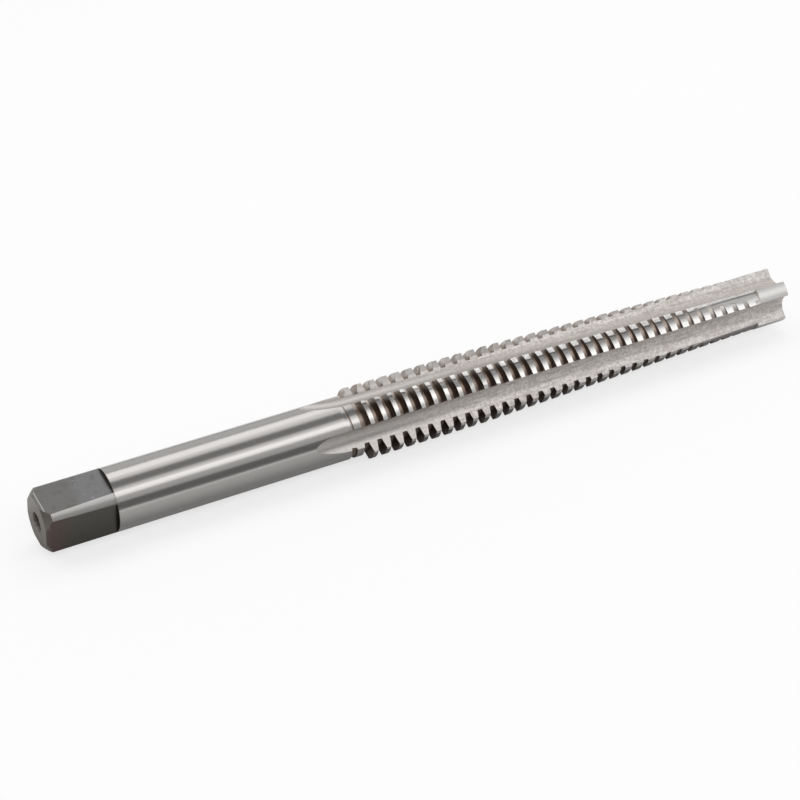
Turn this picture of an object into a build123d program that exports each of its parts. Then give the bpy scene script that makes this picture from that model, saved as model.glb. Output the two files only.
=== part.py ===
from build123d import *
import os
from math import acos, asin, atan2, cos, degrees, hypot, radians, sin, tan

# Acme thread tap: one piece of tool steel, in millimetres.
# The tap lies along X, with its square end at low X and its tip at high X.
# It is modelled on its own axis, from the square's end face, and laid down at the end.
# Angles about the axis are counted from +Y towards +Z, which is the way the tap turns when it cuts.

# Along the axis
overall_length = 150.0
square_length = 12.65
thread_start = 59.6
taper_start = 87.4
pilot_length = 6.25

# Shank and square drive
shank_diameter = 11.35
across_flats_at_end = 8.86
across_flats_at_shoulder = 9.33
square_lead_angle = 13.6
end_face_diameter = 8.95
end_corner_length = 1.2
flat_bevel_length = 0.6
flat_bevel_depth = 0.15

# Right-hand acme thread
pitch = 2.54
thread_angle = 29.0
thread_diameter = 13.35
root_diameter = 10.15
root_flat = 0.9
first_gap = 0.3
run_in_lift = 0.45
gap_overrun_angle = 6.0

# The crests taper down to the plain pilot and fall away behind their cutting edges
taper_end_diameter = 10.3
crest_relief = 1.0
pilot_diameter = 10.4

# Flutes, cut by a wheel that goes deeper towards the tip and leaves along its own radius
flute_count = 4
cutting_face_lead = 0.9
land_thickness_at_start = 4.15
land_thickness_at_tip = 2.5
flute_corner_radius = 2.45
heel_flare = 4.0
flute_lift = 58.6
flute_wheel_radius = 30.0

# Centre holes in both ends, for turning and grinding the tap
centre_hole_diameter = 1.8
centre_hole_depth = 3.6
countersink_diameter = 3.6
countersink_angle = 60.0

# How far a cut runs past what it cuts
overcut = 1.0

shank_radius = shank_diameter / 2
thread_radius = thread_diameter / 2
root_radius = root_diameter / 2
pilot_radius = pilot_diameter / 2
taper_end_radius = taper_end_diameter / 2
pilot_start = overall_length - pilot_length
land_step = 360 / flute_count
taper_slope = (thread_radius - taper_end_radius) / (pilot_start - taper_start)


def cutting_edge_angle(radius):
    """Where the cutting face of the land at the top meets a circle about the axis."""
    return 90 + degrees(asin(cutting_face_lead / radius))


def heel_angle(radius):
    """Where the same land's heel meets that circle, at the start of the thread."""
    flare = radians(heel_flare)
    foot = land_thickness_at_start - cutting_face_lead
    distance = foot * cos(flare) - cutting_face_lead * sin(flare)
    return 90 - heel_flare - degrees(asin(distance / radius))


def land_middle_angle():
    """The middle of the top land's crest, where the crests are at their full diameter."""
    return (cutting_edge_angle(thread_radius) + heel_angle(thread_radius)) / 2


def crest_radius(x):
    """How far the cutting edges of the tapered crests stand off the axis."""
    return thread_radius + (taper_start - x) * taper_slope


def blank():
    """The turned bar: ball-turned end, shank, thread diameter and pilot."""
    face_radius = end_face_diameter / 2
    corner = (end_corner_length, shank_radius)
    ball_centre = (hypot(*corner) ** 2 - face_radius**2) / 2 / end_corner_length
    ball_radius = hypot(ball_centre, face_radius)
    outline = [
        Line((0, 0), (0, face_radius)),
        RadiusArc((0, face_radius), corner, ball_radius),
        Polyline(
            corner,
            (thread_start, shank_radius),
            (thread_start, thread_radius),
            (pilot_start, thread_radius),
            (pilot_start, pilot_radius),
            (overall_length, pilot_radius),
            (overall_length, 0),
            (0, 0),
        ),
    ]
    return revolve(make_face(outline), Axis.X)


def square_cuts():
    """The four blocks that are milled away beside the square, which grows a little to its shoulder."""
    flat_start = across_flats_at_end / 2
    bevel_slope = flat_bevel_depth / flat_bevel_length
    outline = Polyline(
        (-overcut, flat_start - flat_bevel_depth - overcut * bevel_slope),
        (flat_bevel_length, flat_start),
        (square_length, across_flats_at_shoulder / 2),
        (square_length, shank_diameter),
        (-overcut, shank_diameter),
        close=True,
    )
    block = extrude(Plane.XZ * make_face(outline), shank_radius, both=True)
    flat = land_middle_angle() + square_lead_angle - 45
    return [Rot(flat - 90 + 90 * side, 0, 0) * block for side in range(4)]


def flute():
    """What the wheel mills out ahead of the cutting face of the land at the top."""
    reach = thread_diameter
    corner = (0, 0)
    wall_end = (-reach, reach * tan(radians(heel_flare)))
    section = make_face(Polyline(corner, wall_end, (-reach, reach), (0, reach), close=True))
    section = fillet(section.vertices().sort_by_distance(corner)[0], flute_corner_radius)
    floor_at_start = land_thickness_at_start - cutting_face_lead
    floor_at_tip = land_thickness_at_tip - cutting_face_lead
    slope = (floor_at_start - floor_at_tip) / (overall_length - flute_lift)
    tip = (overall_length + overcut, floor_at_tip - overcut * slope)
    lift = (flute_lift, floor_at_start)
    slope_angle = atan2(slope, 1)
    rise = shank_radius + overcut - floor_at_start
    turn = degrees(acos(cos(slope_angle) - rise / flute_wheel_radius) - slope_angle)
    along = Line(tip, lift)
    away = JernArc(lift, along % 1, flute_wheel_radius, -turn)
    path = Plane.XZ.offset(cutting_face_lead) * Wire([along, away])
    across = Plane(origin=path @ 0, x_dir=(0, 1, 0), z_dir=-(path % 0))
    return sweep(across * section, path=path)


def crest_grinding():
    """What is ground off the top land, down to a taper whose axis lies off centre."""
    away = radians(cutting_edge_angle(thread_radius) + 90)
    start = thread_start - overcut
    end = pilot_start + overcut
    taper = Cone(
        hypot(crest_radius(start), crest_relief),
        hypot(crest_radius(end), crest_relief),
        end - start,
        rotation=(0, 90, 0),
        align=(Align.CENTER, Align.CENTER, Align.MIN),
    )
    taper = Pos(start, crest_relief * cos(away), crest_relief * sin(away)) * taper
    bottom = root_radius / 2
    around_land = Box(
        pilot_start - thread_start,
        land_thickness_at_start + 2 * overcut,
        thread_radius + overcut - bottom,
        align=(Align.MIN, Align.MIN, Align.MIN),
    )
    around_land = Pos(thread_start, -cutting_face_lead - overcut, bottom) * around_land
    return around_land - taper


def thread_gap():
    """One gap between two teeth of the top land, centred on x = 0 at the very top."""
    first_angle = heel_angle(root_radius) - gap_overrun_angle
    last_angle = cutting_edge_angle(root_radius) + gap_overrun_angle
    rise = pitch * (last_angle - first_angle) / 360
    path = Helix(pitch, rise, root_radius, direction=(1, 0, 0))
    start = path @ 0
    outward = Vector(0, start.Y, start.Z).normalized()
    depth = thread_radius - root_radius + overcut
    half_root = root_flat / 2
    half_mouth = half_root + depth * tan(radians(thread_angle / 2))
    outline = Polyline(
        (-half_root, 0),
        (half_root, 0),
        (half_mouth, depth),
        (-half_mouth, depth),
        close=True,
    )
    across = Plane(origin=start, x_dir=(1, 0, 0), z_dir=Vector(1, 0, 0).cross(outward))
    gap = sweep(across * make_face(outline), path=path, is_frenet=True)
    back = 90 - first_angle
    return Pos(-pitch * back / 360, 0, 0) * Rot(-back, 0, 0) * gap


def thread_gaps():
    """The gaps of every land, each land's a part of a turn further along the helix."""
    gap = thread_gap()
    gaps = []
    for land in range(flute_count):
        x = thread_start - first_gap - pitch + pitch * land / flute_count
        lift = run_in_lift * (1 - land / flute_count)
        while x < pilot_start - pitch / 2:
            gaps.append(Pos(x, 0, 0) * Rot(land * land_step, 0, 0) * Pos(0, 0, lift) * gap)
            x += pitch
            lift = 0
    return gaps


def centre_hole():
    """A drilled and countersunk centre, with its mouth at x = 0 and its depth towards +X."""
    mouth_radius = countersink_diameter / 2
    hole_radius = centre_hole_diameter / 2
    cone_depth = (mouth_radius - hole_radius) / tan(radians(countersink_angle / 2))
    profile = Polyline(
        (0, 0),
        (0, mouth_radius),
        (cone_depth, hole_radius),
        (centre_hole_depth, hole_radius),
        (centre_hole_depth, 0),
        close=True,
    )
    return revolve(make_face(profile), Axis.X)


def all_round(cut):
    """The same cut on each of the lands."""
    return [Rot(land * land_step, 0, 0) * cut for land in range(flute_count)]


def lay_down(tap):
    """Turns one flute straight down and puts the middle of the underside on the origin."""
    tap = Rot(135 - land_middle_angle(), 0, 0) * tap
    box = tap.bounding_box()
    middle = box.center()
    return Pos(-middle.X, -middle.Y, -box.min.Z) * tap


def main():
    tap = blank() - square_cuts()
    tap -= all_round(flute())
    tap -= all_round(crest_grinding())
    tap -= thread_gaps()
    tap -= [centre_hole(), Pos(overall_length, 0, 0) * Rot(0, 180, 0) * centre_hole()]
    os.makedirs("parts", exist_ok=True)
    export_step(lay_down(tap), "parts/tap.step")


main()
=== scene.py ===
import math

import bpy
from mathutils import Matrix, Vector


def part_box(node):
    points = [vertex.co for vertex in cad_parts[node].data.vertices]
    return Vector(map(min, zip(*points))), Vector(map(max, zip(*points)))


# %% [markdown]
# # The imported tap
# The tap is ground from one piece of tool steel, and its solid already has the real form, threads included.
# So nothing is modelled over it. What this script adds is what the solid lacks:
# the finishes that the steel has from place to place, with some light and shade painted into them, the studio,
# and the camera.

# %% Load the frame
MM_IN_METRE = 1000.0

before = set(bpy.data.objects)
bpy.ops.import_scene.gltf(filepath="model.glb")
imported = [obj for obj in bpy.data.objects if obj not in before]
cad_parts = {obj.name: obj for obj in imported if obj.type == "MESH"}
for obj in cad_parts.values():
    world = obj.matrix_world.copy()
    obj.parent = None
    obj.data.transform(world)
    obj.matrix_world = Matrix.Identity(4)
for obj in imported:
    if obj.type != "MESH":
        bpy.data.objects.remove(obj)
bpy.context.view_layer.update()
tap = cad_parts["tap"]
low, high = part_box("tap")
size_mm = [round(MM_IN_METRE * side, 2) for side in high - low]
print("tap is", size_mm, "mm in", len(tap.data.polygons), "triangles")

# %% [markdown]
# ## Places on the tap
# The finishes follow the shape, so each place is given as a maker would measure it:
# in millimetres from the end of the square and from the axis, and in degrees about the axis.
# The land's angle is that of the land which faces the camera, counted from +Y towards +Z.

# %% Named places
TAP_LENGTH = 150.0
SQUARE_LENGTH = 12.65
THREAD_START = 59.6
PILOT_START = 143.75
SHANK_RADIUS = 5.675
CENTRE_RADIUS = 1.8
LAND_ANGLE = math.radians(147.35)
LAND_STEP = math.radians(90)

axis_height = (low.z + high.z) / 2
print("the axis is", round(MM_IN_METRE * axis_height, 3), "mm above the floor")

# %% [markdown]
# ## Camera
# A long lens looks along the tap from its square end, from the front and above.
# A camera can be aimed at an empty by a constraint, but here the view was measured, so it is given in numbers.
# Its place is in shank radii from the middle of the square's end face, and its turn is told by how
# the tap's axis, and two directions square to it, lie in the picture: right, down and away.

# %% Make the camera
PICTURE_PIXELS = 800
FOCAL_PIXELS = 2413.14
SENSOR_WIDTH = 36.0
SQUARE_END = (-10.71568, 3.59961, 71.18694)
ALONG = (0.88164212, -0.27029246, 0.38684514)
TOWARDS = (0.36859221, -0.11749303, -0.9221362)
UPWARDS = (-0.29469807, -0.95558222, 0.00395911)

along = Vector((1, 0, 0))
towards = Vector((0, math.cos(LAND_ANGLE), math.sin(LAND_ANGLE)))
upwards = Vector((0, math.sin(LAND_ANGLE), -math.cos(LAND_ANGLE)))
right, down, away = [
    (along * a + towards * t + upwards * u).normalized() for a, t, u in zip(ALONG, TOWARDS, UPWARDS)
]
reach = right * SQUARE_END[0] + down * SQUARE_END[1] + away * SQUARE_END[2]
camera_place = Vector((low.x, 0, axis_height)) - reach * SHANK_RADIUS / MM_IN_METRE

bpy.ops.object.camera_add()
camera = bpy.context.object
camera.name = "camera"
camera_turn = Matrix((right, -down, -away)).transposed()
camera.matrix_world = Matrix.Translation(camera_place) @ camera_turn.to_4x4()
camera.data.sensor_width = SENSOR_WIDTH
camera.data.lens = FOCAL_PIXELS / PICTURE_PIXELS * SENSOR_WIDTH
bpy.context.scene.camera = camera
print("camera at", [round(c, 3) for c in camera_place], "with a lens of", round(camera.data.lens, 1), "mm")

# %% [markdown]
# ## Node helpers
# A material is a small calculation at each point of the surface. It can be wired by hand in the node editor.
# These helpers add one step of it and return its result, so that a finish reads as a few lines.
# An area is a number too: 1 inside it, 0 outside, and something between along its soft edge.


# %% Helpers for arithmetic
def add_node(tree, kind, **settings):
    """Adds a node, sets its options and returns it."""
    node = tree.nodes.new(kind)
    for name, value in settings.items():
        setattr(node, name, value)
    return node


def feed(tree, socket, value):
    """Sets an input to a number or a colour, or links it to another node's output."""
    if isinstance(value, bpy.types.NodeSocket):
        tree.links.new(value, socket)
    else:
        socket.default_value = value


def calculate(tree, operation, first, second=0.0):
    """One step of arithmetic."""
    node = add_node(tree, "ShaderNodeMath", operation=operation)
    feed(tree, node.inputs[0], first)
    feed(tree, node.inputs[1], second)
    return node.outputs[0]


def vector_step(tree, operation, first, second=(0, 0, 0), third=(0, 0, 0)):
    """One step of arithmetic on places or directions. Lengths and products come out as numbers."""
    node = add_node(tree, "ShaderNodeVectorMath", operation=operation)
    feed(tree, node.inputs[0], first)
    feed(tree, node.inputs[1], second)
    feed(tree, node.inputs[2], third)
    return node.outputs["Value" if operation in ("LENGTH", "DOT_PRODUCT") else "Vector"]


def split(tree, place):
    """The three numbers of a place."""
    node = add_node(tree, "ShaderNodeSeparateXYZ")
    feed(tree, node.inputs[0], place)
    return node.outputs


def wrap(tree, value, turn, start):
    """Brings an angle between start and one turn past it. The turn may be a part of a full one."""
    past_start = calculate(tree, "SUBTRACT", value, start)
    return calculate(tree, "ADD", calculate(tree, "FLOORED_MODULO", past_start, turn), start)


# %% Helpers for areas
def ramp(tree, value, start, end):
    """0 up to start, 1 from end on, and a smooth slope between them. With start above end it falls."""
    node = add_node(tree, "ShaderNodeMapRange", interpolation_type="SMOOTHSTEP")
    feed(tree, node.inputs["Value"], value)
    node.inputs["From Min"].default_value = min(start, end)
    node.inputs["From Max"].default_value = max(start, end)
    node.inputs["To Min"].default_value = 0.0 if start < end else 1.0
    node.inputs["To Max"].default_value = 1.0 if start < end else 0.0
    return node.outputs["Result"]


def both(tree, *areas):
    """Where all the areas overlap. A plain number among them makes the result fainter."""
    overlap = areas[0]
    for area in areas[1:]:
        overlap = calculate(tree, "MULTIPLY", overlap, area)
    return overlap


def either(tree, first, second):
    """Where at least one of two areas is."""
    return calculate(tree, "MAXIMUM", first, second)


def outside(tree, area):
    """Everywhere but the area."""
    return calculate(tree, "SUBTRACT", 1.0, area)


# %% Helpers for spots and mixing
def noise(tree, place, size, detail):
    """Soft random spots of about one size, in millimetres."""
    node = add_node(tree, "ShaderNodeTexNoise")
    feed(tree, node.inputs["Vector"], place)
    node.inputs["Scale"].default_value = 1 / size
    node.inputs["Detail"].default_value = detail
    return node.outputs["Fac"]


def stretch(tree, place, factors):
    """Squeezes the place before a noise, so that its spots become streaks."""
    node = add_node(tree, "ShaderNodeMapping")
    feed(tree, node.inputs["Vector"], place)
    node.inputs["Scale"].default_value = factors
    return node.outputs["Vector"]


def blend(tree, amount, first, second):
    """Mixes two colours."""
    node = add_node(tree, "ShaderNodeMix", data_type="RGBA")
    feed(tree, node.inputs[0], amount)
    feed(tree, node.inputs[6], first)
    feed(tree, node.inputs[7], second)
    return node.outputs[2]


def blend_number(tree, amount, first, second):
    """Mixes two numbers."""
    node = add_node(tree, "ShaderNodeMix", data_type="FLOAT")
    feed(tree, node.inputs[0], amount)
    feed(tree, node.inputs[2], first)
    feed(tree, node.inputs[3], second)
    return node.outputs[0]


# %% [markdown]
# ## Where a point lies
# The finishes need a few numbers for each point of the surface: how far it is along the tap,
# how far from the axis and at what angle about it, and whether it faces outward or along the axis.
# They could be painted onto the mesh as attributes, but its triangles are too large for sharp limits.
# They come from Object coordinates, which stay with the tap when it is moved, and not from the camera.

# %% Measure each point
steel = bpy.data.materials.new("tool_steel")
steel.use_nodes = True
tree = steel.node_tree
shader = tree.nodes["Principled BSDF"]
coordinates = add_node(tree, "ShaderNodeTexCoord")
to_mm = (MM_IN_METRE, MM_IN_METRE, MM_IN_METRE)
to_square_end = (-low.x * MM_IN_METRE, 0, -axis_height * MM_IN_METRE)
place = vector_step(tree, "MULTIPLY_ADD", coordinates.outputs["Object"], to_mm, to_square_end)
distance, sideways, height = split(tree, place)
spoke = vector_step(tree, "MULTIPLY", place, (0, 1, 1))
radius = vector_step(tree, "LENGTH", spoke)
outward = vector_step(tree, "NORMALIZE", spoke)
normal = coordinates.outputs["Normal"]
faces_out = vector_step(tree, "DOT_PRODUCT", normal, outward)
faces_up = split(tree, normal)[2]
faces_along = calculate(tree, "ABSOLUTE", vector_step(tree, "DOT_PRODUCT", normal, (1, 0, 0)))
angle = calculate(tree, "ARCTAN2", height, sideways)
turned = calculate(tree, "SUBTRACT", angle, LAND_ANGLE)
turned = wrap(tree, turned, math.tau, -LAND_STEP / 2)
print("nodes for the measures:", len(tree.nodes))

# %% [markdown]
# ## Thread gaps
# The gaps between the teeth lie on a helix: a point's distance along the tap, less the pitch times its turn
# about the axis, says how far it is past the first gap. Folding that number at every half pitch
# gives the distance to the nearest gap's middle. It is less than the gap's half width only inside a gap,
# so the same few nodes mark all of them, where picking faces would have to be done anew after each change.
# The flanks are found more simply: nothing else there faces along the tap.
# The first gap is barely cut into the shank. Its floor is as bright as the shank,
# and only its far edge shows, as a thin dark line, widened by a painted shadow on the floor beside it.

# %% Mark the gaps
PITCH = 2.54
FIRST_GAP = 56.76
ROOT_RADIUS = 5.075
ROOT_FLAT = 0.9
THREAD_ANGLE = math.radians(29)
EDGE = 0.03
INSIDE = (-2 * EDGE, -EDGE)
THREAD_BEGINS = (-PITCH / 2, EDGE - PITCH / 2)
THREAD_ENDS = (PILOT_START - EDGE, PILOT_START - 3 * EDGE)
ROOT_FACES_OUT = (0.7, 0.8)
FLANK_FACES_ALONG = (0.7, 0.85)
BELOW_FIRST_FLOOR = (5.45, 5.43)
ABOVE_FIRST_FLOOR = (5.43, 5.45)

past_first = calculate(tree, "SUBTRACT", distance, calculate(tree, "MULTIPLY", turned, PITCH / math.tau))
past_first = calculate(tree, "SUBTRACT", past_first, FIRST_GAP)
off_middle = calculate(tree, "PINGPONG", past_first, PITCH / 2)
over_root = calculate(tree, "SUBTRACT", radius, ROOT_RADIUS)
half_gap = calculate(tree, "MULTIPLY", over_root, math.tan(THREAD_ANGLE / 2))
half_gap = calculate(tree, "ADD", half_gap, ROOT_FLAT / 2)
above_root = ramp(tree, over_root, *INSIDE)
in_thread = both(tree, ramp(tree, past_first, *THREAD_BEGINS), ramp(tree, distance, *THREAD_ENDS))
in_gap = ramp(tree, calculate(tree, "SUBTRACT", half_gap, off_middle), *INSIDE)
root = both(tree, in_gap, above_root, ramp(tree, radius, *BELOW_FIRST_FLOOR),
            ramp(tree, faces_out, *ROOT_FACES_OUT), in_thread)
flank = both(tree, ramp(tree, faces_along, *FLANK_FACES_ALONG), above_root, in_thread)
first_floor = both(tree, ramp(tree, radius, *ABOVE_FIRST_FLOOR), in_thread)
print("nodes with the roots and flanks:", len(tree.nodes))

# %% Mark the painted shadow at the edge of the first gap
FIRST_SHADOW_TOP = (5.6, 5.58)
FIRST_SHADOW_START = (0.12, 0.2)
FIRST_SHADOW_END = (0.6, 0.5)

# The first gap's floor beside its far edge gets the gaps' dark colour: a painted shadow.
first_edge_shadow = both(tree, first_floor, ramp(tree, radius, *FIRST_SHADOW_TOP),
                  ramp(tree, past_first, *FIRST_SHADOW_START), ramp(tree, past_first, *FIRST_SHADOW_END))
gap = either(tree, either(tree, root, flank), first_edge_shadow)
print("nodes with all the gaps:", len(tree.nodes))

# %% [markdown]
# ## Ground areas
# The shank, the crests of the teeth and the pilot were ground between centres. They are all that faces
# straight outward at its own distance from the axis, so two measures find them without picking a face.
# The flutes' round corners can face outward as well, but lie deeper. The limit between them and the crests
# falls towards the tip, as the crests do.

# %% Mark the ground areas
STRAIGHT_OUT = (0.9, 0.94)
SHANK_SURFACE = (5.64, 5.66)
SHANK_END = (THREAD_START - EDGE, THREAD_START)
CREST_LIMIT = (6.2, 6.25)
CREST_FALL = 0.012
PILOT_EDGE = (PILOT_START - EDGE, PILOT_START)
NEAR_TIP = (118, 142)

straight_out = ramp(tree, faces_out, *STRAIGHT_OUT)
past_shank = ramp(tree, distance, *SHANK_END)
shank = both(tree, outside(tree, past_shank), ramp(tree, radius, *SHANK_SURFACE))
level_radius = calculate(tree, "ADD", radius, calculate(tree, "MULTIPLY", distance, CREST_FALL))
teeth = both(tree, past_shank, ramp(tree, level_radius, *CREST_LIMIT))
ground = both(tree, straight_out, either(tree, either(tree, shank, first_floor), teeth), outside(tree, gap))
pilot = ramp(tree, distance, *PILOT_EDGE)
crest = both(tree, ground, past_shank, outside(tree, pilot))
near_tip = ramp(tree, distance, *NEAR_TIP)
print("nodes with the ground areas:", len(tree.nodes))

# %% [markdown]
# ## Heels of the crests
# The last strip of each crest, at its heel, wasn't reached by the grinding wheel and is frosted and pale.
# A thin dark line parts it from the ground crest. A strip at a fixed angle would drift off the heel,
# because the lands get narrower towards the tip. So it is measured from the heel's face,
# which is flat, a little flared, and comes nearer to the axis towards the tip.

# %% Measure from the heel's face
SHOULDER_THICKNESS = 4.15
TIP_THICKNESS = 2.5
FLUTE_START = 58.6
FACE_LEAD = 0.9
HEEL_FLARE = math.radians(4)

land_slope = (SHOULDER_THICKNESS - TIP_THICKNESS) / (TAP_LENGTH - FLUTE_START)
foot_at_start = SHOULDER_THICKNESS - FACE_LEAD * (1 + math.sin(HEEL_FLARE))
heel_face = calculate(tree, "MULTIPLY", calculate(tree, "SUBTRACT", distance, FLUTE_START), -land_slope)
heel_face = calculate(tree, "ADD", heel_face, foot_at_start)
on_land = wrap(tree, turned, LAND_STEP, -LAND_STEP / 2)
sideways_on_land = calculate(tree, "SINE", calculate(tree, "ADD", on_land, HEEL_FLARE))
to_heel = calculate(tree, "ADD", heel_face, calculate(tree, "MULTIPLY", radius, sideways_on_land))
print("the heel's face is", round(foot_at_start, 2), "mm from the axis at the start of the flutes")

# %% Mark the frosted heels
FIRST_WIDTH = 0.5
FULL_WIDTH = 0.95
TIP_WIDTH = 0.4
WIDENS = (65, 90)
NARROWS = (118, 138)
HEEL_EDGE = (-0.05, 0.05)
LINE_FADES = (0.5, 0.2)

heel_width = blend_number(tree, ramp(tree, distance, *WIDENS), FIRST_WIDTH, FULL_WIDTH)
heel_width = blend_number(tree, ramp(tree, distance, *NARROWS), heel_width, TIP_WIDTH)
past_frost = calculate(tree, "SUBTRACT", to_heel, heel_width)
off_frost = ramp(tree, past_frost, *HEEL_EDGE)
frosted_heel = both(tree, crest, outside(tree, off_frost))
heel_line = both(tree, crest, off_frost, ramp(tree, past_frost, *LINE_FADES))
print("nodes with the heels:", len(tree.nodes))

# %% [markdown]
# ## Ground steel
# Ground steel is smooth and bright, with very fine lines around the axis from the wheel.
# Those lines could be an anisotropic shine, but they hardly show here, so a noise squeezed into rings
# that changes the roughness a little is enough. The crests were ground last and are paler.
# Near the tip they are paler still, but duller. The pilot is a little frosted,
# and the crests on the underside are painted much darker, as painted shade, since they face down.

# %% Ground steel's colours
SOFT = 2.0
FINE = 3.0
GRAIN_SIZE = 0.3
GROUND_STEEL = (0.50, 0.485, 0.47, 1)
CREST_STEEL = (0.66, 0.645, 0.63, 1)
TIP_CREST_STEEL = (0.8, 0.785, 0.77, 1)
PILOT_STEEL = (0.68, 0.665, 0.65, 1)
UNDERSIDE_SHADE = (0.12, 0.10, 0.09, 1)
UNDERSIDE_SHADE_SHARE = 0.8
UNDERSIDE = (-2.2, -4.2)
LINE_STEEL = (0.2, 0.185, 0.175, 1)
LINE_SHARE = 0.75
FROSTED_STEEL = (0.66, 0.64, 0.62, 1)
FROST_LIGHT = (0.94, 0.93, 0.92, 1)
FROST_SPOTS = (0.4, 0.6)

grain = noise(tree, place, GRAIN_SIZE, FINE)
ground_colour = blend(tree, crest, GROUND_STEEL, CREST_STEEL)
ground_colour = blend(tree, near_tip, ground_colour, TIP_CREST_STEEL)
ground_colour = blend(tree, pilot, ground_colour, PILOT_STEEL)
# Painted shade: the crests on the underside are darkened.
shaded_underside = both(tree, crest, ramp(tree, height, *UNDERSIDE), UNDERSIDE_SHADE_SHARE)
ground_colour = blend(tree, shaded_underside, ground_colour, UNDERSIDE_SHADE)
ground_colour = blend(tree, both(tree, heel_line, LINE_SHARE), ground_colour, LINE_STEEL)
frost = blend(tree, ramp(tree, grain, *FROST_SPOTS), FROSTED_STEEL, FROST_LIGHT)
ground_colour = blend(tree, frosted_heel, ground_colour, frost)
print("nodes with the ground steel's colours:", len(tree.nodes))

# %% Ground steel's shine
RING_SPACING = 0.15
INTO_RINGS = (1, 0.03, 0.03)
SHANK_ROUGH = (0.17, 0.23)
CREST_ROUGH = 0.26
TIP_CREST_ROUGH = 0.36
FROSTED_ROUGH = 0.4

rings = noise(tree, stretch(tree, place, INTO_RINGS), RING_SPACING, SOFT)
crest_rough = blend_number(tree, near_tip, CREST_ROUGH, TIP_CREST_ROUGH)
ground_rough = blend_number(tree, crest, blend_number(tree, rings, *SHANK_ROUGH), crest_rough)
ground_rough = blend_number(tree, either(tree, frosted_heel, pilot), ground_rough, FROSTED_ROUGH)
print("nodes with the ground steel's shine:", len(tree.nodes))

# %% [markdown]
# ## Milled flutes
# The flutes, the cutting faces and the heels were milled before hardening and blasted clean afterwards.
# That leaves a warm grey with a fine sparkle, and faint streaks along the tap from the cutter.
# Real pits in the mesh would take millions of faces. So the sparkle is a bump in the material,
# which catches any lamp, together with painted glints: lighter spots in the colour on the same grain.
# The streaks are in the colour.

# %% Milled steel
STREAK_WIDTH = 0.4
INTO_STREAKS = (0.08, 1, 1)
BLOTCH_SIZE = 0.6
MILLED_STEEL = (0.66, 0.62, 0.59, 1)
MILLED_LIGHT = (0.88, 0.84, 0.81, 1)
MILLED_DARK = (0.46, 0.42, 0.395, 1)
BLOTCH_SPOTS = (0.36, 0.64)
STREAK_SPOTS = (0.55, 0.35)
STREAK_SHARE = 0.5
SPARKLE_SPOTS = (0.5, 0.65)
SPARKLE_SHARE = 0.45

streaks = noise(tree, stretch(tree, place, INTO_STREAKS), STREAK_WIDTH, FINE)
blotches = noise(tree, place, BLOTCH_SIZE, FINE)
milled_colour = blend(tree, ramp(tree, blotches, *BLOTCH_SPOTS), MILLED_STEEL, MILLED_LIGHT)
streaked = both(tree, ramp(tree, streaks, *STREAK_SPOTS), STREAK_SHARE)
milled_colour = blend(tree, streaked, milled_colour, MILLED_DARK)
# Painted glints: the colour lightens on the grain's peaks.
sparkling = both(tree, ramp(tree, grain, *SPARKLE_SPOTS), SPARKLE_SHARE)
milled_colour = blend(tree, sparkling, milled_colour, MILLED_LIGHT)
print("nodes with the milled steel:", len(tree.nodes))

# %% [markdown]
# ## Painted shade in the flutes
# The flutes' inner corners are painted darker, as painted shade, more on the upper side.
# On the upper side the strip beside each heel is painted shade too, and the outer part of the cutting faces
# is darker; both fade towards the tip. Ambient occlusion would darken the corners too,
# but the same on every side and not beside the heels.
# A flute is an L in section: one leg is the cutting face, and the other is the next land's heel.
# The distances from the two legs say how deep in the corner a point is.

# %% Painted shade in the corners
FLUTE_MARGIN = math.radians(20)
INNER_CORNER = (2.2, 0.4)
UPPER_HALF = (0.0, 3.0)
LEAST_CORNER_SHADE = 0.15
MOST_CORNER_SHADE = 0.8

in_flute = wrap(tree, turned, LAND_STEP, -FLUTE_MARGIN)
off_face = calculate(tree, "MULTIPLY", radius, calculate(tree, "SINE", in_flute))
off_face = calculate(tree, "SUBTRACT", off_face, FACE_LEAD)
along_face = calculate(tree, "COSINE", calculate(tree, "ADD", in_flute, HEEL_FLARE))
off_heel = calculate(tree, "SUBTRACT", calculate(tree, "MULTIPLY", radius, along_face), heel_face)
in_corner = both(tree, ramp(tree, off_face, *INNER_CORNER), ramp(tree, off_heel, *INNER_CORNER))
# Painted shade: the inner corners darken, most on the upper side.
corner_shade = blend_number(tree, ramp(tree, height, *UPPER_HALF), LEAST_CORNER_SHADE, MOST_CORNER_SHADE)
milled_colour = blend(tree, both(tree, in_corner, corner_shade), milled_colour, MILLED_DARK)
print("nodes with the film in the corners:", len(tree.nodes))

# %% Painted shade beside the heels, and darker cutting faces
DARKENED_STEEL = (0.34, 0.315, 0.295, 1)
UPPER_SIDE = (1.5, 3.0)
BESIDE_HEEL = (1.5, 0.5)
HEEL_SHADE_FADES = (140, 90)
HEEL_SHADE_SHARE = 0.45
ON_CUTTING_FACE = (0.3, 0.1)
OUTER_PART = (5.2, 5.7)
FACE_DARKENING_FADES = (140, 110)
FACE_DARKENING_SHARE = 0.6

# Painted shade beside each heel on the upper side. The outer part of the cutting faces is darker too.
heel_shade = both(tree, ramp(tree, height, *UPPER_SIDE), ramp(tree, off_heel, *BESIDE_HEEL),
                 ramp(tree, distance, *HEEL_SHADE_FADES), HEEL_SHADE_SHARE)
darker_faces = both(tree, ramp(tree, off_face, *ON_CUTTING_FACE), ramp(tree, radius, *OUTER_PART),
                 ramp(tree, distance, *FACE_DARKENING_FADES), FACE_DARKENING_SHARE)
milled_colour = blend(tree, either(tree, heel_shade, darker_faces), milled_colour, DARKENED_STEEL)
print("nodes with all the film:", len(tree.nodes))

# %% [markdown]
# ## Run-outs of the flutes
# Where the cutter left the shank it took thin chips, so the ends of the flutes are smoother and greyer.
# A second material would need a sharp limit, so the same one changes slowly along the tap.

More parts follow.
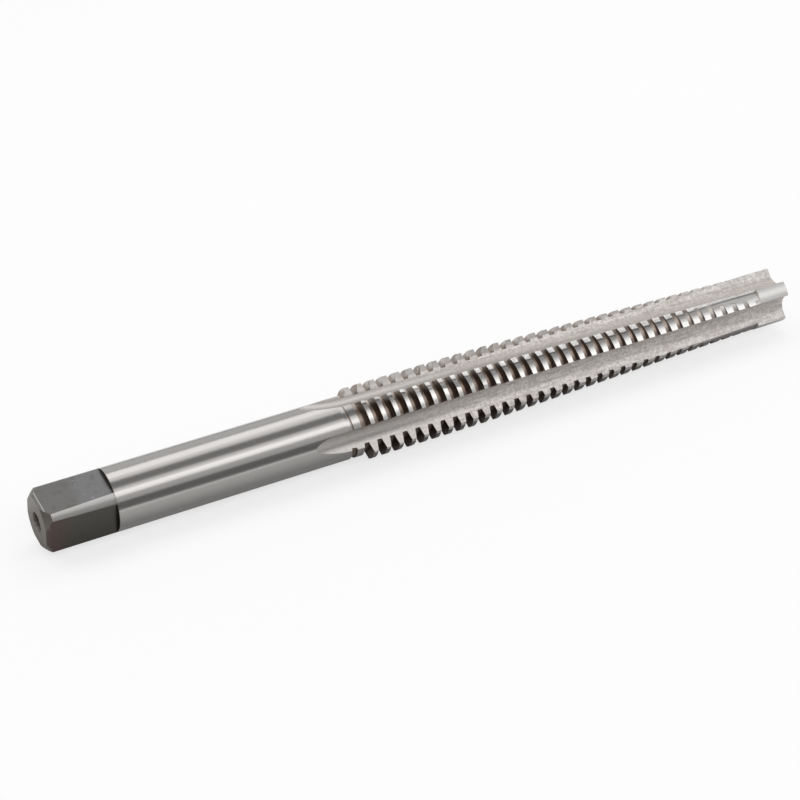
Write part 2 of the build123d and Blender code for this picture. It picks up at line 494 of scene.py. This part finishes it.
# %% Smooth run-outs
RUN_OUT = (90, 58)
SMOOTH_STEEL = (0.55, 0.525, 0.505, 1)
SMOOTH_SHARE = 0.75
MILLED_ROUGH = 0.55
RUN_OUT_ROUGH = 0.42

run_out = ramp(tree, distance, *RUN_OUT)
milled_colour = blend(tree, both(tree, run_out, SMOOTH_SHARE), milled_colour, SMOOTH_STEEL)
milled_rough = blend_number(tree, run_out, MILLED_ROUGH, RUN_OUT_ROUGH)
print("nodes with the run-outs:", len(tree.nodes))

# %% [markdown]
# ## Inside the gaps
# The gaps weren't ground after hardening. They keep a brown film of oil and scale, darker on the underside
# of the tap and rubbed off in patches on top and near the tip. The flanks are painted darker, as painted shade.
# The film could be a clear coat with a colour of its own, but it is so thin that a darker, browner steel does.

# %% Oily gaps, with painted shade on the flanks
PATCH_SIZE = 2.5
UNDERNEATH = (4.0, -4.0)
ON_TOP = (4.2, 5.2)
RUBBED_SPOTS = (0.6, 0.5)
OILY_ROOT = (0.33, 0.275, 0.237, 1)
SHADED_OILY_FLANK = (0.26, 0.215, 0.185, 1)
UNDERSIDE_GAP_STEEL = (0.22, 0.165, 0.145, 1)
RUBBED_GAP = (0.50, 0.47, 0.445, 1)
GAP_ROUGH = 0.3

patches = noise(tree, place, PATCH_SIZE, SOFT)
underneath = ramp(tree, height, *UNDERNEATH)
# The flanks' colour is darker than the roots': painted shade. The gaps grow darker towards the bottom.
gap_colour = blend(tree, flank, OILY_ROOT, SHADED_OILY_FLANK)
gap_colour = blend(tree, underneath, gap_colour, UNDERSIDE_GAP_STEEL)
rubbed_top = both(tree, ramp(tree, height, *ON_TOP), ramp(tree, patches, *RUBBED_SPOTS))
rubbed_tip = both(tree, near_tip, outside(tree, underneath))
gap_colour = blend(tree, either(tree, rubbed_top, rubbed_tip), gap_colour, RUBBED_GAP)
print("nodes with the gaps' film:", len(tree.nodes))

# %% [markdown]
# ## The square
# The square was milled and then left as it came out of the furnace, dark grey, clouded and matt.
# On top it is a little lighter towards the shank. The sides are browner near the end, and darker: painted
# shade.
# The end face is paler and browner. A painted picture could show all that, but would need its own layout
# on the square, so noises of three sizes make clouds and specks that never repeat.

# %% Scaled square
SQUARE_LIMIT = (SQUARE_LENGTH + 0.1, SQUARE_LENGTH + 0.05)
SCALE = (0.155, 0.152, 0.15, 1)
LIGHT_SCALE = (0.178, 0.178, 0.182, 1)
BROWN_SCALE = (0.15, 0.115, 0.103, 1)
DARK_SCALE = (0.135, 0.128, 0.117, 1)
END_SCALE = (0.21, 0.19, 0.172, 1)
UNEVENNESS = 3.0
LIGHTER_FROM = (7.0, 9.5)
BROWN_UNTIL = (3.0, 7.0)
SIDE_NOT_TOP = (0.6, 0.1)
END_FACE = (0.4, 0.6)

on_square = ramp(tree, distance, *SQUARE_LIMIT)
uneven = calculate(tree, "ADD", distance, calculate(tree, "MULTIPLY", patches, UNEVENNESS))
top_colour = blend(tree, ramp(tree, uneven, *LIGHTER_FROM), SCALE, LIGHT_SCALE)
# The sides are darker than the top: painted shade, and browner near the end.
shaded_side_colour = blend(tree, ramp(tree, uneven, *BROWN_UNTIL), BROWN_SCALE, DARK_SCALE)
print("nodes with the scale:", len(tree.nodes))

# %% Clouds and specks on the square
CLOUD_SIZE = 1.6
CLOUD_SPOTS = (0.5, 0.68)
CLOUD_SHARE = 0.7
BARE_STEEL_AND_HIGHLIGHT = (0.5, 0.48, 0.45, 1)
SPECK_SPOTS = (0.62, 0.7)
SPECK_PATCHES = (0.4, 0.6)
SPECK_SHARE = 0.25

clouds = both(tree, ramp(tree, noise(tree, place, CLOUD_SIZE, FINE), *CLOUD_SPOTS), CLOUD_SHARE)
top_colour = blend(tree, clouds, top_colour, DARK_SCALE)
specks = both(tree, ramp(tree, blotches, *SPECK_SPOTS), ramp(tree, patches, *SPECK_PATCHES), SPECK_SHARE)
top_colour = blend(tree, specks, top_colour, BARE_STEEL_AND_HIGHLIGHT)
scale_colour = blend(tree, ramp(tree, faces_up, *SIDE_NOT_TOP), top_colour, shaded_side_colour)
scale_colour = blend(tree, ramp(tree, faces_along, *END_FACE), scale_colour, END_SCALE)
print("nodes with the clouds and specks:", len(tree.nodes))

# %% [markdown]
# ## Painted highlight and shade on the square
# A thin bright line is painted along the front edge of each flat that faces up: a painted highlight.
# The centre hole is painted near black as painted shade, and a band along the shoulder as its painted shadow,
# and the four narrow strips between the flats are still the ground shank. A highlight made from the bevel node
# would catch every edge alike, so each of these small marks is laid over the scale in its own measured place.

# %% Painted edge highlights, shade and shadow
BEVEL_START = (0.38, 0.45)
BEVEL_END = (0.66, 0.6)
NOT_END_FACE = (0.5, 0.4)
EDGE_HIGHLIGHT_SHARE = 0.55
CENTRE_MOUTH = (CENTRE_RADIUS, CENTRE_RADIUS - 0.1)
CENTRE_DEPTH = (0.05, 0.5)
SHOULDER = (SQUARE_LENGTH - 0.5, SQUARE_LENGTH - 0.1)
PAINTED_SHADE_BLACK = (0.04, 0.035, 0.03, 1)
PAINTED_SHADE_SHARE = 0.8

# Painted highlight along the front edges of the upper flats.
edge_highlight = both(tree, ramp(tree, distance, *BEVEL_START), ramp(tree, distance, *BEVEL_END),
                   ramp(tree, faces_along, *NOT_END_FACE), ramp(tree, height, *UPPER_HALF), EDGE_HIGHLIGHT_SHARE)
scale_colour = blend(tree, edge_highlight, scale_colour, BARE_STEEL_AND_HIGHLIGHT)
# Painted shade in the centre hole, and painted shadow along the shoulder.
in_centre = both(tree, ramp(tree, radius, *CENTRE_MOUTH), ramp(tree, distance, *CENTRE_DEPTH))
shade_and_shadow = both(tree, either(tree, in_centre, ramp(tree, distance, *SHOULDER)), PAINTED_SHADE_SHARE)
scale_colour = blend(tree, shade_and_shadow, scale_colour, PAINTED_SHADE_BLACK)
print("nodes with the wear and soot:", len(tree.nodes))

# %% Ground strips between the flats
STRIP_SURFACE = (SHANK_RADIUS - 2 * EDGE, SHANK_RADIUS - EDGE)
STRIP_FACES_OUT = (0.97, 0.98)
STRIP_START = (0.9, 1.3)
STRIP_SHARE = 0.6
SCALE_ROUGH = 0.42
STRIP_ROUGH = 0.28

ground_strip = both(tree, on_square, ramp(tree, radius, *STRIP_SURFACE),
                    ramp(tree, faces_out, *STRIP_FACES_OUT), ramp(tree, distance, *STRIP_START))
scale_colour = blend(tree, both(tree, ground_strip, STRIP_SHARE), scale_colour, GROUND_STEEL)
scale_rough = blend_number(tree, ground_strip, SCALE_ROUGH, STRIP_ROUGH)
print("nodes with the strips:", len(tree.nodes))

# %% [markdown]
# ## All the finishes on one solid
# The real tap is one piece, so it has one material. Faces could each be given their own instead,
# but the finishes don't end where the triangles do. So the areas lay them over each other as the work was done:
# milled first, then ground, with the film in the gaps and the scale on the square on top, each with some
# painted shade.
# The bump is the blasted grain. Where the steel is ground it is a fiftieth as deep and runs in rings.

# %% Put the finishes together
BUMP_METRES = 0.00003
FULL_GRAIN = 1.0
RUN_OUT_GRAIN = 0.35
RING_DEPTH = 0.02

colour = blend(tree, ground, milled_colour, ground_colour)
colour = blend(tree, gap, colour, gap_colour)
colour = blend(tree, on_square, colour, scale_colour)
rough = blend_number(tree, ground, milled_rough, ground_rough)
rough = blend_number(tree, gap, rough, GAP_ROUGH)
rough = blend_number(tree, on_square, rough, scale_rough)
blasted = both(tree, grain, blend_number(tree, run_out, FULL_GRAIN, RUN_OUT_GRAIN))
surface = blend_number(tree, either(tree, ground, ground_strip), blasted, both(tree, rings, RING_DEPTH))
bump = add_node(tree, "ShaderNodeBump")
feed(tree, bump.inputs["Height"], surface)
bump.inputs["Strength"].default_value = 1.0
bump.inputs["Distance"].default_value = BUMP_METRES
feed(tree, shader.inputs["Base Color"], colour)
feed(tree, shader.inputs["Roughness"], rough)
feed(tree, shader.inputs["Normal"], bump.outputs["Normal"])
shader.inputs["Metallic"].default_value = 1.0
tap.data.materials.clear()
tap.data.materials.append(steel)
print("tool steel has", len(tree.nodes), "nodes")

# %% [markdown]
# ## Floor
# The tap lies on white paper. Stronger lamps would make the paper white, but would wash out the tap,
# and white paper would throw too much light up under it. So the paper is grey to the light,
# and a glow that only the camera, mirrors and glass see makes it white.
# The tap still throws its soft shadow, on the part of the white that the lamps give.

# %% White paper
FLOOR_SIZE = 3.0
PAPER_GREY = 0.32
PAPER_ROUGH = 0.9
FLOOR_GLOW = 0.7

bpy.ops.object.select_all(action="DESELECT")
bpy.ops.mesh.primitive_plane_add(size=FLOOR_SIZE)
floor = bpy.context.object
floor.name = "floor"
white = bpy.data.materials.new("white_paper")
white.use_nodes = True
paper = white.node_tree
paper_shader = paper.nodes["Principled BSDF"]
paper_shader.inputs["Base Color"].default_value = (PAPER_GREY, PAPER_GREY, PAPER_GREY, 1)
paper_shader.inputs["Roughness"].default_value = PAPER_ROUGH
paper_shader.inputs["Specular IOR Level"].default_value = 0.0
paper_shader.inputs["Emission Color"].default_value = (1, 1, 1, 1)
ray = add_node(paper, "ShaderNodeLightPath")
seen = either(paper, ray.outputs["Is Camera Ray"], ray.outputs["Is Glossy Ray"])
seen = either(paper, seen, ray.outputs["Is Transmission Ray"])
feed(paper, paper_shader.inputs["Emission Strength"], calculate(paper, "MULTIPLY", seen, FLOOR_GLOW))
floor.data.materials.append(white)
print("paper", FLOOR_SIZE, "m square, grey", PAPER_GREY, "and glow", FLOOR_GLOW)

# %% [markdown]
# ## Cards
# Bright round steel looks flat when all it can mirror is white. Photographers put darker cards
# beside the object, and their reflections draw the dark bands along the shank. Dark bands painted on the steel
# would stay in place when the tap or the camera moves, and real reflections don't.
# A dark card stands on edge in front of the tap, and a grey one lies under it. Only reflections see them,
# so they throw no shadow and don't show on the paper.

# %% Cards that only reflections see
CARD_LENGTH = 0.3


def studio_card(name, middle, width, tilt, grey):
    """A long narrow card along the tap. Its middle is so far behind the axis and above the floor."""
    paint = bpy.data.materials.new(name)
    paint.use_nodes = True
    card_shader = paint.node_tree.nodes["Principled BSDF"]
    card_shader.inputs["Base Color"].default_value = (grey, grey, grey, 1)
    card_shader.inputs["Roughness"].default_value = PAPER_ROUGH
    bpy.ops.object.select_all(action="DESELECT")
    bpy.ops.mesh.primitive_plane_add(size=1, location=(0, *middle), rotation=(math.radians(tilt), 0, 0))
    card = bpy.context.object
    card.name = name
    card.scale = (CARD_LENGTH, width, 1)
    bpy.ops.object.transform_apply(location=False, rotation=False, scale=True)
    card.data.materials.append(paint)
    card.visible_camera = False
    card.visible_diffuse = False
    card.visible_shadow = False
    print(name, "width", width, "and grey", grey)


studio_card("front_card", middle=(-0.032, 0.0065), width=0.013, tilt=90, grey=0.32)
studio_card("under_card", middle=(-0.004, 0.0001), width=0.036, tilt=0, grey=0.72)

# %% [markdown]
# ## Lamps
# Each bright band along the shank is the reflection of one long soft lamp. One large lamp would give
# one broad band, so there are six narrow ones. A round bar mirrors the room once around,
# so the place of a band across the bar gives the lamp's angle about the axis.
# The lamps lie along the tap, at these angles: one low behind it, two above and behind,
# two above and in front, and a weak one in front, under the camera.

# %% Lamps
LAMP_DISTANCE = 0.6
LAMP_LENGTH = 2.4
LAMP_MIDDLE = 0.25


def strip_light(name, first_angle, last_angle, brightness):
    """A long soft lamp beside the tap, between two angles about its axis, from +Y up towards -Y."""
    middle = math.radians((first_angle + last_angle) / 2)
    half = math.radians((last_angle - first_angle) / 2)
    back = Vector((0, math.cos(middle), math.sin(middle)))
    bpy.ops.object.light_add(type="AREA")
    lamp = bpy.context.object
    lamp.name = name
    lamp.data.shape = "RECTANGLE"
    lamp.data.size = LAMP_LENGTH
    lamp.data.size_y = 2 * LAMP_DISTANCE * math.tan(half)
    lamp.data.energy = brightness * math.pi * lamp.data.size * lamp.data.size_y
    lamp.visible_camera = False
    lamp_place = Matrix.Translation(back * LAMP_DISTANCE + along * LAMP_MIDDLE)
    lamp_turn = Matrix((along, back.cross(along), back)).transposed()
    lamp.matrix_world = lamp_place @ lamp_turn.to_4x4()
    print(name, "width", round(lamp.data.size_y, 3), "power", round(lamp.data.energy, 2))


strip_light("rear_low", 8, 46, brightness=0.45)
strip_light("rear_strip", 50, 76, brightness=1.3)
strip_light("rear_fill", 76, 90, brightness=0.8)
strip_light("front_fill", 117, 128, brightness=0.75)
strip_light("front_strip", 128, 146, brightness=1.55)
strip_light("camera_fill", 148, 163, brightness=0.34)

# %% [markdown]
# ## World
# The rest of the room is a plain grey, which keeps the dark bands from going black.
# A picture of a real studio would do it too, but its own lamps would show in the steel.

# %% World
ROOM_GREY = 0.25

world = bpy.data.worlds.new("studio")
bpy.context.scene.world = world
world.use_nodes = True
room = world.node_tree.nodes["Background"]
room.inputs["Color"].default_value = (1, 1, 1, 1)
room.inputs["Strength"].default_value = ROOM_GREY
bpy.context.scene.view_settings.view_transform = "Standard"
print("room grey", ROOM_GREY, "and view transform", bpy.context.scene.view_settings.view_transform)
